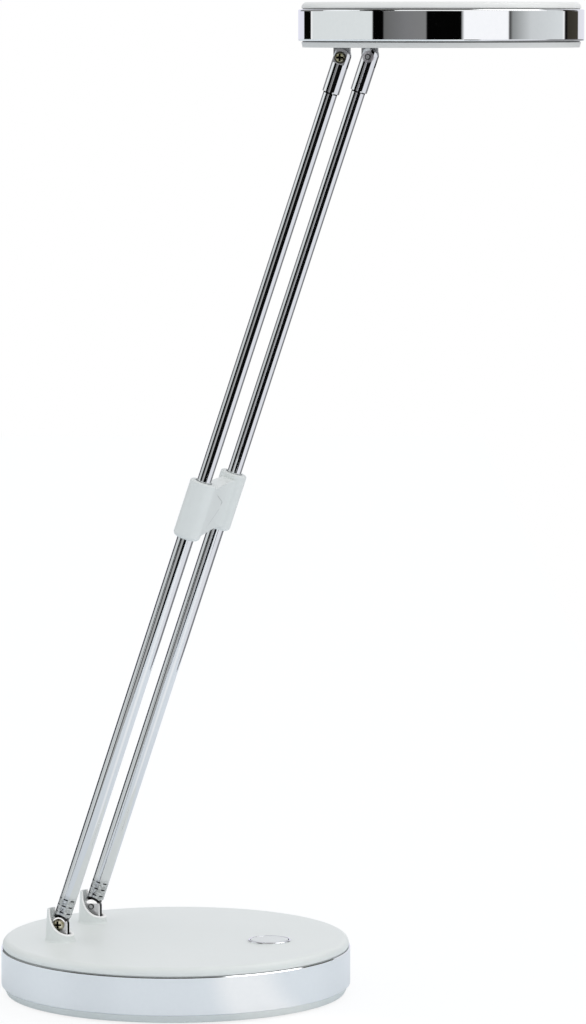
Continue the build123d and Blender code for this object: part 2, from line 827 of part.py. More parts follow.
with BuildPart() as arm_clip:
    for side, facing in arms:
        with BuildSketch(arm_plane(facing, clip_bottom)):
            Circle(clip_radius)
        extrude(amount=clip_length)
    barrel_rims = arm_clip.edges().filter_by(GeomType.CIRCLE).sort_by(Axis.Z)
    fillet(barrel_rims[:2], clip_foot_round)
    fillet(barrel_rims[2:], clip_top_round)
    with BuildSketch(arm_plane(0, clip_bottom + web_inset)):
        with BuildLine():
            Polyline(
                (-web_front, -arm_half_spacing),
                (clip_radius - thumb_raise, -arm_half_spacing),
                (web_front, web_fall - arm_half_spacing),
                (web_front, arm_half_spacing),
                (-web_front, arm_half_spacing),
                close=True,
            )
        make_face()
    extrude(amount=web_length)
    web_corners = arm_clip.edges().filter_by(Axis((0, 0, 0), clip_plane.z_dir))
    web_corners = web_corners.filter_by(lambda edge: edge.length < web_length + fit)
    web_corners = web_corners.sort_by(Axis((0, 0, 0), clip_plane.x_dir))
    fillet([*web_corners[:2], web_corners[2:].sort_by(Axis.Y)[-1]], web_round)
    add(thumb.part)
    for side, facing in arms:
        with BuildSketch(arm_plane(facing, clip_bottom)):
            Circle(outer_radius + fit)
        extrude(amount=clip_length, mode=Mode.SUBTRACT)
keep(arm_clip, "arm_clip")

# Upper arms: inner tubes with friction sleeves below, fork ferrules and pivot screws above
for side, facing in arms:
    y = facing * arm_half_spacing
    with BuildPart() as inner_tube:
        with BuildSketch(arm_plane(facing, sleeve_top)):
            Circle(inner_radius)
            Circle(inner_radius - inner_wall, mode=Mode.SUBTRACT)
        extrude(amount=ferrule_bottom + ferrule_socket - sleeve_top)
    keep(inner_tube, f"inner_tube_{side}")

    with BuildPart() as friction_sleeve:
        with BuildSketch(arm_plane(facing, sleeve_top - sleeve_length)):
            Circle(outer_bore - slide_running)
        extrude(amount=sleeve_length)
        with BuildSketch(arm_plane(facing, sleeve_top)):
            Circle(inner_radius - inner_wall - fit)
        extrude(amount=sleeve_spigot)
        with BuildSketch(arm_plane(facing, sleeve_top - sleeve_length)):
            Circle(sleeve_bore)
        extrude(amount=sleeve_length + sleeve_spigot, mode=Mode.SUBTRACT)
    keep(friction_sleeve, f"friction_sleeve_{side}")

    with BuildPart() as head_ferrule:
        fork = arm_side(facing)
        with BuildSketch(fork):
            with Locations((0, arm_length)):
                Circle(ferrule_radius)
            with Locations((0, arm_length - ferrule_drop / 2)):
                Rectangle(2 * ferrule_radius, ferrule_drop)
        extrude(amount=ferrule_radius, both=True)
        with BuildSketch(arm_plane(facing, ferrule_bottom)):
            Circle(ferrule_radius)
        extrude(amount=ferrule_drop + ferrule_radius, mode=Mode.INTERSECT)
        with BuildSketch(arm_plane(facing, ferrule_bottom)):
            Circle(inner_radius + fit)
        extrude(amount=ferrule_socket, mode=Mode.SUBTRACT)
        with Locations(arm_plane(facing, ferrule_bottom)):
            with PolarLocations(ferrule_radius, 1, start_angle=punch_turn):
                Sphere(punch_radius, mode=Mode.SUBTRACT)
        with BuildSketch(arm_plane(facing, arm_length - slot_depth)):
            Rectangle(4 * ferrule_radius, 2 * slot_half)
        extrude(amount=slot_depth + 2 * ferrule_radius, mode=Mode.SUBTRACT)
        with BuildSketch(arm_plane(facing, arm_length - m2_head_radius - assembly_gap)):
            with Locations((0, facing * (screw_seat + ferrule_radius))):
                Rectangle(4 * ferrule_radius, 2 * ferrule_radius)
        extrude(amount=3 * ferrule_radius, mode=Mode.SUBTRACT)
        with BuildSketch(fork):
            with Locations((0, arm_length)):
                Circle(m2_hole)
        extrude(amount=2 * ferrule_radius, both=True, mode=Mode.SUBTRACT)
    keep(head_ferrule, f"head_ferrule_{side}")

    with BuildPart() as head_pivot_screw:
        with Locations(outward(head_axis_x, y + facing * screw_seat, head_axis_z, facing)):
            add(pan_screw(screw_seat + ferrule_radius + m2_radius / 4))
    keep(head_pivot_screw, f"head_pivot_screw_{side}")

    # Steel tab: hangs in the fork, with a foot on the lower ring inside the head
    with BuildPart() as head_tab:
        with BuildSketch(upright_side(head_axis_x, y, head_axis_z)):
            Circle(tab_width / 2)
            with Locations((0, (tab_foot_top - head_axis_z) / 2)):
                Rectangle(tab_width, tab_foot_top - head_axis_z)
            Circle(m2_radius + pin_running, mode=Mode.SUBTRACT)
        extrude(amount=tab_thickness / 2, both=True)
        with BuildSketch(Plane.XY.offset(ring_plate_top)):
            with Locations((head_axis_x, y + facing * tab_foot_length / 2)):
                Rectangle(tab_width, tab_foot_length)
            with Locations(*tab_screw_spots):
                Circle(m2_hole, mode=Mode.SUBTRACT)
        extrude(amount=tab_foot_thickness)
    keep(head_tab, f"head_tab_{side}")

# Lower ring of the head: rim under the band, seat for the diffuser, ledge for the LED board
with BuildPart() as head_bottom_ring:
    ledge_outer = diffuser_opening + head_skirt_wall
    with BuildSketch(head_plane):
        with BuildLine():
            Polyline(
                (ledge_inner, diffuser_seat),
                (diffuser_opening, diffuser_seat),
                (diffuser_opening, head_under),
                (head_rim_radius - ring_taper, head_under),
                (head_rim_radius, head_band_bottom - groove_height),
                (groove_radius, head_band_bottom - groove_height),
                (groove_radius, head_band_bottom),
                (head_spigot, head_band_bottom),
                (head_spigot, head_band_bottom + head_skirt_depth),
                (head_spigot_inner, head_band_bottom + head_skirt_depth),
                (head_spigot_inner, ring_plate_top),
                (ledge_outer, ring_plate_top),
                (ledge_outer, ledge_top),
                (ledge_inner, ledge_top),
                close=True,
            )
        make_face()
    revolve(axis=head_axis)
    with BuildSketch(Plane.XY.offset(head_under)):
        for side, facing in arms:
            with Locations((head_axis_x, facing * arm_half_spacing)):
                Rectangle(tab_width + 2 * fit, tab_thickness + 2 * fit)
    extrude(amount=head_wall, mode=Mode.SUBTRACT)
    for x, y in tab_screw_spots:
        with Locations((x, y, ring_plate_top)):
            Hole(m2_hole, depth=tab_screw_length - tab_foot_thickness + fit)
    for x, y in led_screw_spots:
        with Locations((x, y, ledge_top)):
            Hole(m2_hole, depth=led_screw_length - led_board_thickness + fit)
    for x, y in head_screw_spots:
        with Locations(downward(x, y, diffuser_seat)):
            CounterSinkHole(m25_hole, m25_head_radius + fit, counter_sink_angle=90)
keep(head_bottom_ring, "head_bottom_ring")

with BuildPart() as tab_screws:
    with Locations(*[(x, y, tab_foot_top) for x, y in tab_screw_spots]):
        add(pan_screw(tab_screw_length))
keep(tab_screws, "tab_screws")

# Frosted diffuser in the lower ring
with BuildPart() as diffuser:
    with BuildSketch(Plane.XY.offset(diffuser_seat)):
        with Locations((head_x, 0)):
            Circle(diffuser_radius)
    extrude(amount=-diffuser_thickness)
    fillet(diffuser.edges().group_by(Axis.Z)[0], diffuser_thickness / 4)
keep(diffuser, "diffuser")

# LED board on the ledge, notched for the cover's bosses, with its LEDs on the underside
with BuildPart() as led_board:
    with BuildSketch(Plane.XY.offset(ledge_top)):
        with Locations((head_x, 0)):
            Circle(diffuser_radius - led_board_inset)
        with Locations(*head_screw_spots):
            Circle(m25_boss + assembly_gap, mode=Mode.SUBTRACT)
        with Locations(*led_screw_spots):
            Circle(m2_hole, mode=Mode.SUBTRACT)
    extrude(amount=led_board_thickness)
keep(led_board, "led_board")

with BuildPart() as leds:
    with BuildSketch(Plane.XY.offset(ledge_top)):
        with Locations((head_x, 0)):
            with PolarLocations(led_inner_ring, led_inner_count):
                Rectangle(led_length, led_width)
            with PolarLocations(led_outer_ring, led_outer_count):
                Rectangle(led_length, led_width)
    extrude(amount=-led_height)
keep(leds, "leds")

with BuildPart() as led_board_screws:
    with Locations(*[(x, y, led_board_top) for x, y in led_screw_spots]):
        add(pan_screw(led_screw_length))
keep(led_board_screws, "led_board_screws")

# Chromed band of the head
with BuildPart() as head_chrome_band:
    with BuildSketch(Plane.XY.offset(head_band_bottom)):
        with Locations((head_x, 0)):
            Circle(head_radius)
            Circle(head_radius - head_band_wall, mode=Mode.SUBTRACT)
    extrude(amount=head_band_height)
    head_rims = head_chrome_band.edges().filter_by(GeomType.CIRCLE).sort_by(SortBy.RADIUS)
    fillet(head_rims[-2:], head_band_round)
keep(head_chrome_band, "head_chrome_band")

# Top cover of the head: flat plate with a rounded rim, skirt inside the band, screw bosses
with BuildPart() as head_top_cover:
    with BuildSketch(head_plane) as crown_profile:
        with BuildLine():
            Polyline(
                (0, head_cover_under),
                (head_spigot_inner, head_cover_under),
                (head_spigot_inner, head_band_top - head_skirt_depth),
                (head_spigot, head_band_top - head_skirt_depth),
                (head_spigot, head_band_top),
                (groove_radius, head_band_top),
                (groove_radius, head_band_top + groove_height),
                (head_rim_radius, head_band_top + groove_height),
                (head_rim_radius, head_top),
                (0, head_top),
                close=True,
            )
        make_face()
        fillet(crown_profile.vertices().sort_by(Axis.Y)[-2:].sort_by(Axis.X)[-1], crown_round)
    revolve(axis=head_axis)
    with BuildSketch(Plane.XY.offset(ledge_top)):
        with Locations(*head_screw_spots):
            Circle(m25_boss)
    extrude(amount=head_cover_under - ledge_top)
    for x, y in head_screw_spots:
        with Locations(downward(x, y, ledge_top)):
            Hole(m25_hole, depth=head_screw_length - ledge_thickness + fit)
keep(head_top_cover, "head_top_cover")

with BuildPart() as head_screws:
    with Locations(*[downward(x, y, diffuser_seat) for x, y in head_screw_spots]):
        add(countersunk_screw(head_screw_length, m25_radius, m25_head_radius))
keep(head_screws, "head_screws")

# Leads in the head, from each tab's foot over to the LED board
with BuildPart() as head_leads:
    for side, facing in arms:
        lead_top = led_board_top + head_lead_rise
        foot_y = facing * (arm_half_spacing + tab_thickness / 2 + 2 * lead_radius)
        board_spot = (head_x - head_lead_back, facing * head_lead_side)
        add(
            lead(
                [
                    (head_axis_x, foot_y, tab_foot_top),
                    (head_axis_x, foot_y, lead_top),
                    (*board_spot, lead_top),
                    (*board_spot, led_board_top),
                ]
            )
        )
keep(head_leads, "head_leads")
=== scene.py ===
import math

import bpy
import numpy as np
from mathutils import Matrix

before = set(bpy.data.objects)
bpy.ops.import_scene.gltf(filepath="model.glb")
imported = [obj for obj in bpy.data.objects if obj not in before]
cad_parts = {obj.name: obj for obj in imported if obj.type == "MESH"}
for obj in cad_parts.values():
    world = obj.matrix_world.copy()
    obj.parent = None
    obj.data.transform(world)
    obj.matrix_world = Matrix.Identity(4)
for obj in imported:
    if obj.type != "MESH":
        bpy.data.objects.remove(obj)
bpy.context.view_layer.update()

# Anti-slip pad: a disc of black rubber, die-cut from a finely ribbed sheet and
# glued into the seat of the bottom shell, where it hides the screws.


class Signal:
    """A shader socket as a value: an operator on signals adds a Math node to their tree."""

    def __init__(self, tree, socket=None):
        self.tree = tree
        self.socket = socket

    def node(self, kind, settings=None, inputs=None, output=0):
        """Adds one node: its settings first, then the values or links of its sockets."""
        made = self.tree.nodes.new("ShaderNode" + kind)
        for key, value in (settings or {}).items():
            if key == "stops":
                ramp = made.color_ramp
                for place, _ in value[1:-1]:
                    ramp.elements.new(place)
                for element, (place, colour) in zip(ramp.elements, value):
                    element.position = place
                    element.color = (*colour, 1.0)
            else:
                setattr(made, key, value)
        for key, value in (inputs or {}).items():
            if isinstance(value, Signal):
                self.tree.links.new(value.socket, made.inputs[key])
            else:
                made.inputs[key].default_value = value
        return Signal(self.tree, made.outputs[output] if made.outputs else None)

    def math(self, operation, first, second=0.0):
        return self.node("Math", {"operation": operation}, {0: first, 1: second})

    def __add__(self, other):
        return self.math("ADD", self, other)

    def __radd__(self, other):
        return self.math("ADD", other, self)

    def __sub__(self, other):
        return self.math("SUBTRACT", self, other)

    def __rsub__(self, other):
        return self.math("SUBTRACT", other, self)

    def __mul__(self, other):
        return self.math("MULTIPLY", self, other)

    def __rmul__(self, other):
        return self.math("MULTIPLY", other, self)

    def __gt__(self, other):
        return self.math("GREATER_THAN", self, other)

    def __lt__(self, other):
        return self.math("LESS_THAN", self, other)

    def __abs__(self):
        return self.math("ABSOLUTE", self)

    def reach(self, other):
        """Square root of the sum of two squares: the distance from an axis."""
        return self.math("SQRT", self * self + other * other)

    def rises(self, low, high):
        """Smooth step: 0 up to low, 1 from high on."""
        inputs = {"Value": self, "From Min": low, "From Max": high}
        return self.node("MapRange", {"interpolation_type": "SMOOTHSTEP"}, inputs)

    def between(self, first, second):
        """Colour that goes from first, where this signal is 0, to second, where it is 1."""
        return self.node("Mix", {"data_type": "RGBA"}, {0: self, 6: first, 7: second}, 2)

    def feeds(self, shader, name):
        self.tree.links.new(self.socket, shader.inputs[name])


def finish(name, **constants):
    """New material: its shader, with the constants on their sockets, and a signal to start from."""
    material = bpy.data.materials.new(name)
    material.use_nodes = True
    shader = material.node_tree.nodes["Principled BSDF"]
    for key, value in constants.items():
        shader.inputs[key.replace("_", " ")].default_value = value
    return material, shader, Signal(material.node_tree)


def grain(start, scale, detail=2.0):
    """Noise from 0 to 1 on the piece's own coordinates; scale is waves to the metre."""
    spot = start.node("TexCoord", output="Object")
    return start.node("TexNoise", None, {"Vector": spot, "Scale": scale, "Detail": detail})


def millimetres(start):
    """The surface's own x, y and z in millimetres."""
    spot = start.node("TexCoord", output="Object")
    return [start.node("SeparateXYZ", None, {0: spot}, axis) * 1000.0 for axis in range(3)]


def emboss(height, shader, strength, distance):
    """Lets a height signal push the shader's normal; distance is the height of 1, in metres."""
    inputs = {"Strength": strength, "Distance": distance, "Height": height}
    height.node("Bump", None, inputs).feeds(shader, "Normal")


def dress(material, *nodes):
    """Gives CAD nodes a material."""
    for name in nodes:
        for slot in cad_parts[name].material_slots:
            slot.material = material


rib_pitch = 1.6
pad_rubber, shader, start = finish("pad rubber")
mottle = grain(start, 900.0)
x, y, z = millimetres(start)
rib = y.math("SINE", y * (math.tau / rib_pitch))
mottle.between((0.028, 0.028, 0.03, 1), (0.05, 0.05, 0.052, 1)).feeds(shader, "Base Color")
(0.7 + 0.2 * mottle).feeds(shader, "Roughness")
emboss(0.3 * rib + mottle, shader, 0.5, 0.0003)
dress(pad_rubber, "anti_slip_pad")

# Bottom shell and top cover of the base: injection-moulded in a cool white plastic
# with a fine spark-eroded texture. The lips of the scooped cups are painted near-white, a painted
# highlight.
hinge_x, hinge_z = -37.1, 25.55
arm_side = 18.85
cup_reach, cup_drop = 6.0, 5.5
scoop_x, scoop_z, scoop_radius = hinge_x + 5.8, hinge_z + 4.9, 8.55
lip_bright, lip_fade = 0.25, 0.5
white_plastic, shader, start = finish("white plastic", Specular_IOR_Level=0.42)
cloud = grain(start, 24.0)
fine = grain(start, 2600.0)
x, y, z = millimetres(start)
off_lip = abs((x - scoop_x).reach(z - scoop_z) - scoop_radius)
in_cup = (abs(abs(y) - arm_side) < cup_reach) * (z > hinge_z - cup_drop)
# Painted highlight: the cups' lips are painted near-white along the scoop's edge.
lip_highlight = (1.0 - off_lip.rises(lip_bright, lip_fade)) * in_cup
moulded = cloud.between((0.755, 0.795, 0.785, 1), (0.785, 0.82, 0.815, 1))
lip_highlight.between(moulded, (0.97, 0.975, 0.97, 1)).feeds(shader, "Base Color")
(0.36 + 0.14 * fine).feeds(shader, "Roughness")
emboss(fine, shader, 0.12, 0.00006)
dress(white_plastic, "base_bottom_shell", "base_top_cover")

# Ballast inside the base: a cast iron disc, painted dark against rust,
# with the rough skin of the sand mould under the paint.
ballast_iron, shader, start = finish("ballast iron", Metallic=0.6)
rough_cast = grain(start, 500.0, 4.0)
rough_cast.between((0.05, 0.05, 0.055, 1), (0.1, 0.1, 0.1, 1)).feeds(shader, "Base Color")
(0.5 + 0.3 * rough_cast).feeds(shader, "Roughness")
emboss(rough_cast, shader, 0.4, 0.0003)
dress(ballast_iron, "ballast_plate")

# Assembly screws and the inlet's centre pin: cold-headed steel,
# zinc plated, with the plating's faint bloom.
screw_steel, shader, start = finish("screw steel", Metallic=1.0)
plating = grain(start, 1800.0)
plating.between((0.5, 0.5, 0.5, 1), (0.66, 0.66, 0.67, 1)).feeds(shader, "Base Color")
(0.26 + 0.2 * plating).feeds(shader, "Roughness")
dress(screw_steel, "ballast_screws", "base_screws", "board_screws", "bracket_screws")
dress(screw_steel, "tab_screws", "led_board_screws", "head_screws", "inlet_pin")

# Control board: glass-fibre laminate under green solder mask,
# where the copper underneath shows as lighter lines.
track_wave_x, track_wave_y = 2.4, 1.9
board_green, shader, start = finish("board green")
weave = grain(start, 1200.0)
x, y, z = millimetres(start)
tracks = x.math("SINE", x * track_wave_x) * y.math("SINE", y * track_wave_y)
copper = tracks.rises(0.25, 0.35)
mask_green = weave.between((0.01, 0.09, 0.035, 1), (0.02, 0.14, 0.06, 1))
copper.between(mask_green, (0.035, 0.2, 0.09, 1)).feeds(shader, "Base Color")
(0.3 + 0.15 * weave).feeds(shader, "Roughness")
dress(board_green, "control_board")

# Switch, plunger and inlet: small housings of glass-filled black nylon, moulded
# matt. The switch is soldered to the board and the inlet sits in the shell's saddle.
black_plastic, shader, start = finish("black plastic")
speck = grain(start, 2400.0)
speck.between((0.012, 0.012, 0.013, 1), (0.024, 0.024, 0.025, 1)).feeds(shader, "Base Color")
(0.4 + 0.2 * speck).feeds(shader, "Roughness")
dress(black_plastic, "push_switch", "dc_jack", "switch_plunger")

# Leads inside the base and the head: stranded copper in a red PVC sheath,
# extruded smooth, and soldered at both ends.
lead_red, shader, start = finish("lead red")
sheath = grain(start, 900.0)
sheath.between((0.4, 0.01, 0.012, 1), (0.55, 0.03, 0.03, 1)).feeds(shader, "Base Color")
(0.35 + 0.2 * sheath).feeds(shader, "Roughness")
dress(lead_red, "inlet_leads", "arm_leads", "head_leads")

# Bands of the base and head and the ring of the button: plastic rings, plated
# with bright chrome and snapped between the covers. The head's band is polished
# until its face rolls over softly towards both edges.
groove_low, groove_high = 336.63, 347.39
roll_width = 0.6
roll_over, roll_under = 0.22, 0.5
millimetre = 0.001


def band_finish(name):
    """Bright chrome with a faint haze."""
    material, shader, start = finish(name, Metallic=1.0)
    haze = grain(start, 700.0, 3.0)
    haze.between((0.88, 0.895, 0.91, 1), (0.92, 0.93, 0.94, 1)).feeds(shader, "Base Color")
    (0.012 + 0.02 * haze).feeds(shader, "Roughness")
    return material, shader, start


band_chrome, _, _ = band_finish("band chrome")
dress(band_chrome, "base_chrome_band", "button_bezel")
head_band_chrome, shader, start = band_finish("head band chrome")
x, y, z = millimetres(start)
past_top = z.math("MAXIMUM", z - (groove_high - roll_width), 0.0)
past_bottom = z.math("MAXIMUM", (groove_low + roll_width) - z, 0.0)
emboss(-roll_over * past_top - roll_under * past_bottom, shader, 1.0, millimetre)
dress(head_band_chrome, "head_chrome_band")

# Button cap: a moulded cap in the cover's white plastic that rides in the chromed
# ring, polished a little by fingers.
button_white, shader, start = finish("button white", Specular_IOR_Level=0.45)
rub = grain(start, 300.0)
rub.between((0.7, 0.735, 0.74, 1), (0.74, 0.77, 0.775, 1)).feeds(shader, "Base Color")
(0.3 + 0.18 * rub).feeds(shader, "Roughness")
dress(button_white, "button_cap")

# Hinge brackets and foot tongues: pressed from sheet steel and nickel plated. The tongues and the
# brackets' faces between the cheeks are painted dark, a painted shade. Their crests roll over, are
# buffed smoother and are painted paler, a painted glint.
cheek_shade_depth = 1.0
cheek_shade_fade = 0.12
crest_height, crest_fade = 0.9, 0.4
crest_roll = 0.36
bracket_steel, shader, start = finish("bracket steel", Metallic=1.0)
press = grain(start, 800.0, 3.0)
x, y, z = millimetres(start)
aside = abs(abs(y) - arm_side)
# Painted shade: the faces between the cheeks are painted near-black.
clear_of_painted_shade = aside.rises(cheek_shade_depth, cheek_shade_depth + cheek_shade_fade)
nickel = press.between((0.74, 0.73, 0.74, 1), (0.84, 0.83, 0.84, 1))
past_crest = z - (hinge_z + crest_height)
# Painted glint: the crests are painted paler; they are also buffed smoother.
buffed_with_glint = past_crest.rises(0.0, crest_fade)
crest_glint = buffed_with_glint.between(nickel, (0.97, 0.97, 0.97, 1))
clear_of_painted_shade.between((0.006, 0.006, 0.006, 1), crest_glint).feeds(shader, "Base Color")
(0.26 + 0.2 * press - 0.2 * buffed_with_glint).feeds(shader, "Roughness")
rolled = past_crest.math("MAXIMUM", past_crest, 0.0)
emboss(-crest_roll * rolled, shader, 1.0, millimetre)
dress(bracket_steel, "hinge_bracket_near", "hinge_bracket_far")

# Painted shade: the tongues, which sit between the cheeks, are painted dark.
tongue_painted_dark, shader, start = finish("tongue steel", Metallic=1.0)
press = grain(start, 800.0, 3.0)
press.between((0.1, 0.1, 0.1, 1), (0.18, 0.18, 0.18, 1)).feeds(shader, "Base Color")
(0.3 + 0.25 * press).feeds(shader, "Roughness")
dress(tongue_painted_dark, "foot_tongue_near", "foot_tongue_far")

# Pivot screws: yellow-passivated steel with a pressed cross recess and a bare grey tail on the
# arms' inner sides. The recess is painted near-black and the rim of the head darker, a painted
# shade;
# the tail is darker round its edge.
screw_radius = 2.1
rim_start, rim_full = screw_radius - 0.7, screw_radius - 0.5
recess_reach, recess_floor = 1.4, 0.85
recess_fade = 0.1
tail_core, tail_edge = 0.62, 0.8
bracket_seat, ferrule_seat = 1.65, 2.2


def pivot_finish(name, axis_x, axis_z, seat, rim_shade):
    """Screw finish by the distance from the screw's axis and the height over its seat, with painted
    shade in the recess and round the rim; rim_shade is how dark the painted shade round the rim of
    the head is."""
    material, shader, start = finish(name, Metallic=1.0)
    passivation = grain(start, 900.0)
    x, y, z = millimetres(start)
    out = (x - axis_x).reach(z - axis_z)
    height = abs(y) - (arm_side + seat)
    gold = passivation.rises(0.3, 0.7).between((0.34, 0.3, 0.14, 1), (0.98, 0.93, 0.74, 1))
    off_middle = out.rises(recess_reach, recess_reach + recess_fade)
    off_floor = height.rises(recess_floor, recess_floor + recess_fade)
    # Painted shade: the cross recess is painted near-black, and the rim by rim_shade.
    recess_shade = (1.0 - off_middle) * (1.0 - off_floor)
    rim = out.rises(rim_start, rim_full)
    shade = recess_shade.math("MAXIMUM", recess_shade, rim_shade * rim)
    head_colour = shade.between(gold, (0.008, 0.007, 0.005, 1))
    grey = out.rises(tail_core, tail_edge).between((0.5, 0.5, 0.5, 1), (0.06, 0.06, 0.06, 1))
    inner = height < -2.0 * seat
    inner.between(head_colour, grey).feeds(shader, "Base Color")
    (0.22 + 0.2 * passivation).feeds(shader, "Roughness")
    return material


base_screw_brass = pivot_finish("base screw brass", hinge_x, hinge_z, bracket_seat, 0.5)
dress(base_screw_brass, "base_pivot_screw_near", "base_pivot_screw_far")
head_hinge_x, head_hinge_z = 65.876, 331.009
head_screw_brass = pivot_finish("head screw brass", head_hinge_x, head_hinge_z, ferrule_seat, 0.95)
dress(head_screw_brass, "head_pivot_screw_near", "head_pivot_screw_far")

# Tubes and ferrules: drawn brass tube, chromed on the outside and darker towards the foot. Crimps,
# arched feet, bores and the joint under each ferrule are painted near-black, a painted shade. The
# ferrules' cheeks are flattened round the head's screws, and a punch mark locks each to its tube,
# painted white as a painted glint.
lean = math.radians(18.63)
outer_radius, inner_radius, ferrule_radius = 3.0, 2.5, 3.0
fork_depth = 1.0
skin_low, skin_high = 0.14, 0.05
scuff_end, crimp_end, darkening_end = 9.0, 12.0, 110.0
arch_radius, arch_fade = 3.75, 0.1
joint_low, joint_high = 309.3, 309.8
cheek_low, cheek_high = 1.9, 2.3
punch_across, punch_aside = 1.72, 2.46
punch_reach, punch_depth = 0.6, 0.06
drawn_stretch, worn_stretch = 0.03, 1.6


def tube_finish(name, radius):
    """Chrome outside a radius round the arm's axis, with drawing lines along it and a worn foot,
    with painted shade inside the radius, in the arched foot and at the joint under the ferrule, and
    a painted glint in the punch mark.
    """
    material, shader, start = finish(name, Metallic=1.0)
    x, y, z = millimetres(start)
    across = (x - hinge_x) * math.cos(lean) - (z - hinge_z) * math.sin(lean)
    along = (x - hinge_x) * math.sin(lean) + (z - hinge_z) * math.cos(lean)
    aside = abs(y) - arm_side
    arch = across.reach(along).rises(arch_radius, arch_radius + arch_fade)
    joint_shadow = (along > joint_low) * (along < joint_high)
    out = across.reach(aside)
    # Painted shade: inside the radius, in the arched foot and at the joint under the ferrule the
    # colour is near-black.
    unshaded_skin = out.rises(radius - skin_low, radius - skin_high) * arch * (1.0 - joint_shadow)
    drawn_spot = start.node("CombineXYZ", None, {0: across, 1: aside, 2: along * drawn_stretch})
    drawn = start.node("TexNoise", None, {"Vector": drawn_spot, "Scale": 1.5, "Detail": 3.0})
    worn_spot = start.node("CombineXYZ", None, {0: across, 1: aside, 2: along * worn_stretch})
    worn = start.node("TexNoise", None, {"Vector": worn_spot, "Scale": 1.1, "Detail": 4.0})
    foot = (1.0 - along.rises(scuff_end, crimp_end)) * (0.3 + 0.7 * worn.rises(0.35, 0.65))
    bright = drawn.between((0.84, 0.85, 0.87, 1), (0.9, 0.905, 0.92, 1))
    # The chrome is made darker towards the foot.
    near_foot = 1.0 - along.rises(crimp_end, darkening_end)
    chrome = (0.16 * near_foot).between(bright, (0.25, 0.27, 0.28, 1))
    scuffed = (0.75 * foot).between(chrome, (0.3, 0.31, 0.31, 1))
    chrome_with_shade = unshaded_skin.between((0.008, 0.008, 0.009, 1), scuffed)
    cheek = 1.0 - (x - head_hinge_x).reach(z - head_hinge_z).rises(cheek_low, cheek_high)
    pressed = (cheek * unshaded_skin).between(chrome_with_shade, (0.56, 0.53, 0.55, 1))
    off_punch = (across - punch_across).reach((abs(aside) - punch_aside).reach(along - joint_high))
    # Painted glint: the punch mark is painted white and made nearly non-metallic.
    punch_glint = (off_punch < punch_reach) * (out < ferrule_radius - punch_depth)
    punch_glint.between(pressed, (0.97, 0.97, 0.97, 1)).feeds(shader, "Base Color")
    (1.0 - 0.9 * punch_glint).feeds(shader, "Metallic")
    (0.025 + 0.035 * drawn + 0.25 * foot + 0.35 * cheek).feeds(shader, "Roughness")
    return material


outer_chrome = tube_finish("outer tube chrome", outer_radius)
dress(outer_chrome, "outer_tube_near", "outer_tube_far")
inner_chrome = tube_finish("inner tube chrome", inner_radius)
dress(inner_chrome, "inner_tube_near", "inner_tube_far")
ferrule_chrome = tube_finish("ferrule chrome", ferrule_radius - fork_depth)
dress(ferrule_chrome, "head_ferrule_near", "head_ferrule_far")

# Arm clip: the cover's white plastic, pushed over both outer tubes. A fine dark line is
# painted round the thumb tongue on its front, a painted shade along the tongue's step.
tongue_low, tongue_tip, tongue_high = (0.0, -8.65), (25.5, 1.0), (0.0, 8.65)
clip_middle = 156.65
squeeze = 0.27
tip_round = 1.2
line_core, line_fade = 0.06, 0.3
line_start, line_full = 1.6, 3.2
clip_front = 1.5
clip_plastic, shader, start = finish("clip plastic", Specular_IOR_Level=0.42)
cloud = grain(start, 24.0)
fine = grain(start, 2600.0)
x, y, z = millimetres(start)
across = (x - hinge_x) * math.cos(lean) - (z - hinge_z) * math.sin(lean)
along = (x - hinge_x) * math.sin(lean) + (z - hinge_z) * math.cos(lean) - clip_middle
over = (y + arm_side) * squeeze


def past_edge(foot, tip):
    """Distance of the surface outside one straight side of the tongue, in squeezed millimetres."""
    run, rise = (tip[0] - foot[0]) * squeeze, tip[1] - foot[1]
    size = math.copysign(math.hypot(run, rise), rise)
    return (over - foot[0] * squeeze) * (rise / size) - (along - foot[1]) * (run / size)


low_side, high_side = past_edge(tongue_low, tongue_tip), past_edge(tongue_high, tongue_tip)
outline = start.node("Math", {"operation": "SMOOTH_MAX"}, {0: low_side, 1: high_side, 2: tip_round})
on_line = 1.0 - abs(outline).rises(line_core, line_fade)
# Painted shade: a dark line along the outline of the thumb tongue.
painted_step_shade = on_line * (across > clip_front) * over.rises(line_start, line_full)
white = cloud.between((0.735, 0.772, 0.765, 1), (0.765, 0.797, 0.795, 1))
(0.62 * painted_step_shade).between(white, (0.3, 0.31, 0.31, 1)).feeds(shader, "Base Color")
(0.36 + 0.14 * fine).feeds(shader, "Roughness")
emboss(fine, shader, 0.12, 0.00006)
dress(clip_plastic, "arm_clip")

# Friction sleeves at the bottom of the inner tubes: pressed from bronze powder,
# sintered, brown with oil, and pushed into the tube by a spigot.
sleeve_bronze, shader, start = finish("sleeve bronze", Metallic=1.0)
sinter = grain(start, 2200.0)
sinter.between((0.35, 0.2, 0.09, 1), (0.5, 0.3, 0.14, 1)).feeds(shader, "Base Color")
(0.35 + 0.25 * sinter).feeds(shader, "Roughness")
dress(sleeve_bronze, "friction_sleeve_near", "friction_sleeve_far")

# Tabs of the head: sheet steel, bent and nickel plated, screwed to the lower ring
# and riding in the ferrules' forks.
tab_steel, shader, start = finish("tab steel", Metallic=1.0)
press = grain(start, 800.0, 3.0)
press.between((0.3, 0.3, 0.31, 1), (0.42, 0.42, 0.43, 1)).feeds(shader, "Base Color")
(0.25 + 0.2 * press).feeds(shader, "Roughness")
dress(tab_steel, "head_tab_near", "head_tab_far")

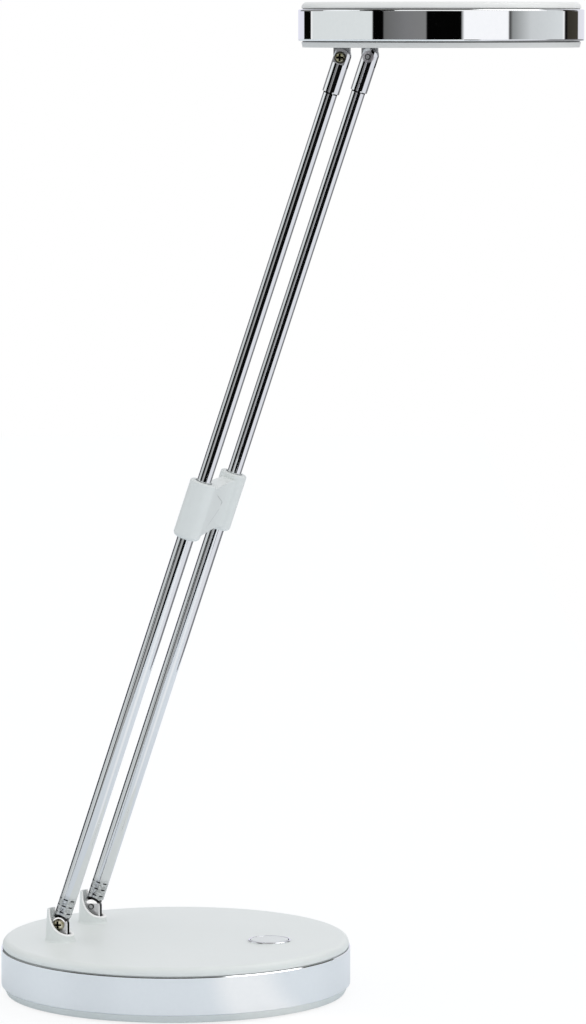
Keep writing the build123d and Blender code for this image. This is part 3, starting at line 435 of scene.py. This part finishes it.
# Head covers: the base's plastic in a brighter white, the lower ring painted darker, a painted
# shade under the band. The grooves beside the chromed band are painted dark, a painted shade.
head_x = 96.126
groove_face = 47.95
groove_height, groove_edge = 0.4, 0.1
head_white, shader, start = finish("head white", Specular_IOR_Level=0.42)
cloud = grain(start, 24.0)
fine = grain(start, 2600.0)
x, y, z = millimetres(start)
deep = 1.0 - (x - head_x).reach(y).rises(groove_face - groove_edge, groove_face)
lower = (z > groove_low - groove_height) * (z < groove_low + groove_edge)
upper = (z > groove_high - groove_edge) * (z < groove_high + groove_height)
# Painted shade: the lower ring is painted darker than the top cover.
ring_shaded_white = cloud.between((0.685, 0.695, 0.685, 1), (0.715, 0.72, 0.71, 1))
cover_white = cloud.between((0.85, 0.865, 0.855, 1), (0.88, 0.89, 0.88, 1))
white = z.rises(groove_low, groove_high).between(ring_shaded_white, cover_white)
# Painted shade: the grooves beside the band are painted dark.
groove_shade = deep * (lower + 0.55 * upper)
groove_shade.between(white, (0.035, 0.037, 0.037, 1)).feeds(shader, "Base Color")
(0.36 + 0.12 * fine).feeds(shader, "Roughness")
emboss(fine, shader, 0.12, 0.00006)
dress(head_white, "head_bottom_ring", "head_top_cover")

# Diffuser: a plate of opal acrylic, cut round and frosted on its outer face,
# lying in the seat of the lower ring.
diffuser_plastic, shader, start = finish("diffuser plastic")
frost = grain(start, 1800.0)
frost.between((0.8, 0.8, 0.78, 1), (0.86, 0.86, 0.84, 1)).feeds(shader, "Base Color")
(0.4 + 0.2 * frost).feeds(shader, "Roughness")
emboss(frost, shader, 0.2, 0.0001)
dress(diffuser_plastic, "diffuser")

# LED board and its chips: a white-masked aluminium board, screwed into the lower
# ring, with yellow phosphor packages soldered on in two rings.
led_board_white, shader, start = finish("LED board white")
mask = grain(start, 800.0)
mask.between((0.75, 0.75, 0.74, 1), (0.8, 0.8, 0.79, 1)).feeds(shader, "Base Color")
(0.3 + 0.1 * mask).feeds(shader, "Roughness")
dress(led_board_white, "led_board")

led_yellow, shader, start = finish("LED yellow")
phosphor = grain(start, 900.0)
phosphor.between((0.75, 0.6, 0.05, 1), (0.85, 0.7, 0.12, 1)).feeds(shader, "Base Color")
(0.4 + 0.2 * phosphor).feeds(shader, "Roughness")
dress(led_yellow, "leds")

# Table: a plain white top under the lamp that ends a little in front of it and to its right,
# painted matt, with a faint cool cast and a paler patch painted on the right, a painted pool of
# light that the chrome band reflects. It glows for the camera, so that it looks as white as the
# studio behind it.
view_turn = math.radians(15.53)
table_left, table_right = -1.6, 0.2
table_front, table_back = -0.43, 2.4
table_drop = 0.0003
patch_start, patch_full = 0.26, 0.52
patch_fade, patch_end = 0.74, 1.1
glow_strength, glow_share = 1.06, 0.8
sideways = np.array([table_left, table_right, table_right, table_left])
backwards = np.array([table_front, table_front, table_back, table_back])
corners = np.stack([
    sideways * math.cos(view_turn) - backwards * math.sin(view_turn),
    sideways * math.sin(view_turn) + backwards * math.cos(view_turn),
    np.full(4, -table_drop),
], axis=1)
table_mesh = bpy.data.meshes.new("table top")
table_mesh.from_pydata(corners.tolist(), [], [(0, 1, 2, 3)])
table_top = bpy.data.objects.new("table_top", table_mesh)
bpy.context.collection.objects.link(table_top)
table_white, shader, start = finish("table white", Roughness=0.6)
table_mesh.materials.append(table_white)
x, y, z = millimetres(start)
to_right = x * math.cos(view_turn) + y * math.sin(view_turn)
to_front = x * math.sin(view_turn) - y * math.cos(view_turn)
round_lamp = x.math("ARCTAN2", to_right, to_front)
# Painted light: a paler patch on the table to the right.
painted_light_patch = round_lamp.rises(patch_start, patch_full) * (1.0 - round_lamp.rises(patch_fade, patch_end))
painted_light_patch.between((0.75, 0.805, 0.855, 1), (0.93, 0.95, 0.97, 1)).feeds(shader, "Base Color")
glow = start.node("Emission", None, {"Strength": glow_strength})
seen = start.node("LightPath", output="Is Camera Ray")
paint = Signal(start.tree, shader.outputs[0])
table_look = start.node("MixShader", None, {0: seen * glow_share, 1: paint, 2: glow})
table_look.feeds(table_white.node_tree.nodes["Material Output"], "Surface")

# Studio: soft light from all round, brighter overhead and to the right, and what only the chrome
# sees: upright cards and floor sheets by their bearing, sheets hung over the left and the front,
# a dark ceiling and a light box in it. Degrees count from straight behind round the left side.
card_stops = [
    (0.0, (0.8, 0.8, 0.9)),
    (33.0, (0.8, 0.8, 0.9)),
    (33.5, (0.002, 0.002, 0.002)),
    (48.5, (0.002, 0.002, 0.002)),
    (49.2, (1.0, 1.0, 1.0)),
    (50.4, (0.98, 0.98, 0.98)),
    (51.4, (0.74, 0.77, 0.77)),
    (121.5, (0.76, 0.79, 0.79)),
    (122.0, (0.001, 0.001, 0.001)),
    (131.6, (0.001, 0.001, 0.001)),
    (132.2, (0.14, 0.14, 0.14)),
    (150.0, (0.2, 0.2, 0.205)),
    (166.2, (0.22, 0.22, 0.22)),
    (166.8, (0.001, 0.001, 0.001)),
    (195.0, (0.001, 0.001, 0.001)),
    (196.0, (1.02, 1.02, 1.04)),
    (233.4, (1.02, 1.02, 1.04)),
    (234.0, (0.05, 0.05, 0.05)),
    (236.0, (0.05, 0.05, 0.05)),
    (236.6, (0.26, 0.27, 0.27)),
    (255.0, (0.62, 0.64, 0.65)),
    (293.6, (0.72, 0.75, 0.76)),
    (294.6, (0.98, 0.98, 0.98)),
    (296.0, (1.0, 1.0, 1.0)),
    (296.8, (0.004, 0.004, 0.004)),
    (299.6, (0.004, 0.004, 0.004)),
    (301.6, (0.04, 0.036, 0.028)),
    (322.5, (0.055, 0.05, 0.04)),
    (323.5, (0.8, 0.8, 0.85)),
    (360.0, (0.8, 0.8, 0.9)),
]
floor_stops = [
    (0.0, (0.7, 0.72, 0.76)),
    (105.0, (0.66, 0.68, 0.7)),
    (113.0, (0.03, 0.03, 0.03)),
    (132.0, (0.03, 0.03, 0.03)),
    (137.0, (0.38, 0.39, 0.39)),
    (161.0, (0.45, 0.46, 0.46)),
    (164.0, (0.003, 0.003, 0.003)),
    (217.0, (0.003, 0.003, 0.003)),
    (220.5, (0.82, 0.83, 0.87)),
    (284.0, (0.78, 0.8, 0.84)),
    (290.0, (0.2, 0.2, 0.21)),
    (345.0, (0.25, 0.25, 0.26)),
    (350.0, (0.7, 0.72, 0.76)),
    (360.0, (0.7, 0.72, 0.76)),
]
floor_top, cards_foot = -0.06, -0.045
sheets_foot = 0.035
sheets_start, side_start, dark_start, grey_start, sheets_end = 20.0, 66.0, 107.0, 139.0, 160.0
front_end = 275.0
left_low, left_high = 0.08, 0.16
side_low, side_high = 0.16, 0.26
front_low, front_high = 0.15, 0.25
ceiling_low, ceiling_high = 0.55, 0.8
box_way = (0.483, 0.164, 0.86)
box_edge, box_inside = 0.94, 0.97
soft_low, soft_high = -0.04, 0.0
studio = bpy.data.worlds.new("studio")
studio.use_nodes = True
bpy.context.scene.world = studio
studio.node_tree.nodes.clear()
start = Signal(studio.node_tree)
outlook = start.node("TexCoord", output="Generated")
spin = {"Vector": outlook, "Angle": -view_turn}
turned = start.node("VectorRotate", {"rotation_type": "Z_AXIS"}, spin)
across, away, height = [start.node("SeparateXYZ", None, {0: turned}, axis) for axis in range(3)]
bearing = across.math("ARCTAN2", across, -1.0 * away)
round_turn = 0.5 + bearing * (1 / math.tau)


def sheet_row(stops):
    """Colours by the bearing; stops are pairs of degrees and colour."""
    return start.node("ValToRGB", {"stops": [(p / 360, c) for p, c in stops]}, {0: round_turn})


def past(degrees):
    """1 where the bearing is past the degrees, 0 before."""
    return round_turn > degrees / 360


stripes = height.rises(floor_top, cards_foot).between(sheet_row(floor_stops), sheet_row(card_stops))
left_rise, side_rise = height.rises(left_low, left_high), height.rises(side_low, side_high)
left_sheet = left_rise.between((0.003, 0.003, 0.003, 1), (0.26, 0.26, 0.26, 1))
side_sheet = side_rise.between((0.63, 0.66, 0.66, 1), (1.0, 1.03, 1.03, 1))
left_and_side = past(side_start).between(left_sheet, side_sheet)
with_dark = past(dark_start).between(left_and_side, (0.003, 0.003, 0.003, 1))
with_grey = past(grey_start).between(with_dark, (0.42, 0.43, 0.43, 1))
hung = (height > sheets_foot) * past(sheets_start) * (1.0 - past(sheets_end))
flagged = hung.between(stripes, with_grey)
front = height.rises(front_low, front_high) * past(grey_start) * (1.0 - past(front_end))
fronted = front.between(flagged, (1.05, 1.05, 1.05, 1))
ceiling = height.rises(ceiling_low, ceiling_high).between(fronted, (0.06, 0.055, 0.05, 1))
towards_box = across * box_way[0] + away * box_way[1] + height * box_way[2]
overhead = towards_box.rises(box_edge, box_inside).between(ceiling, (4.0, 4.0, 4.0, 1))
sides = across.rises(-1.0, 1.0).between((0.57, 0.58, 0.59, 1), (0.86, 0.865, 0.87, 1))
above = height.rises(-0.1, 1.0).between(sides, (1.1, 1.1, 1.095, 1))
below = across.rises(-1.0, 1.0).between((0.62, 0.65, 0.68, 1), (1.0, 1.02, 1.05, 1))
soft = height.rises(soft_low, soft_high).between(below, above)
glossy = start.node("LightPath", output="Is Glossy Ray")
seen = start.node("LightPath", output="Is Camera Ray")
shown = seen.between(glossy.between(soft, overhead), (1, 1, 1, 1))
world_shader = start.node("Background", None, {"Color": shown, "Strength": 1.0})
start.node("OutputWorld", None, {"Surface": world_shader})

# Camera: a long lens about level with the head, to the right of the lamp's front, that
# looks down a little. The lens is given in pixels of the photograph's frame.
lens_pixels = 4991.5
frame_pixels = 1024
view_drop = math.radians(5.58)
camera_place = (0.5092, -1.6769, 0.3423)
right = np.array([math.cos(view_turn), math.sin(view_turn), 0.0])
ahead = np.array([
    -math.sin(view_turn) * math.cos(view_drop),
    math.cos(view_turn) * math.cos(view_drop),
    -math.sin(view_drop),
])
up = np.cross(right, ahead)
camera_data = bpy.data.cameras.new("camera")
camera_data.sensor_fit = "VERTICAL"
camera_data.sensor_height = 36.0
camera_data.lens = lens_pixels / frame_pixels * camera_data.sensor_height
camera = bpy.data.objects.new("camera", camera_data)
bpy.context.collection.objects.link(camera)
columns = np.stack([right, up, -ahead, np.array(camera_place)], axis=1)
camera.matrix_world = Matrix([*columns.tolist(), [0, 0, 0, 1]])
bpy.context.scene.camera = camera
bpy.context.scene.view_settings.view_transform = "Standard"
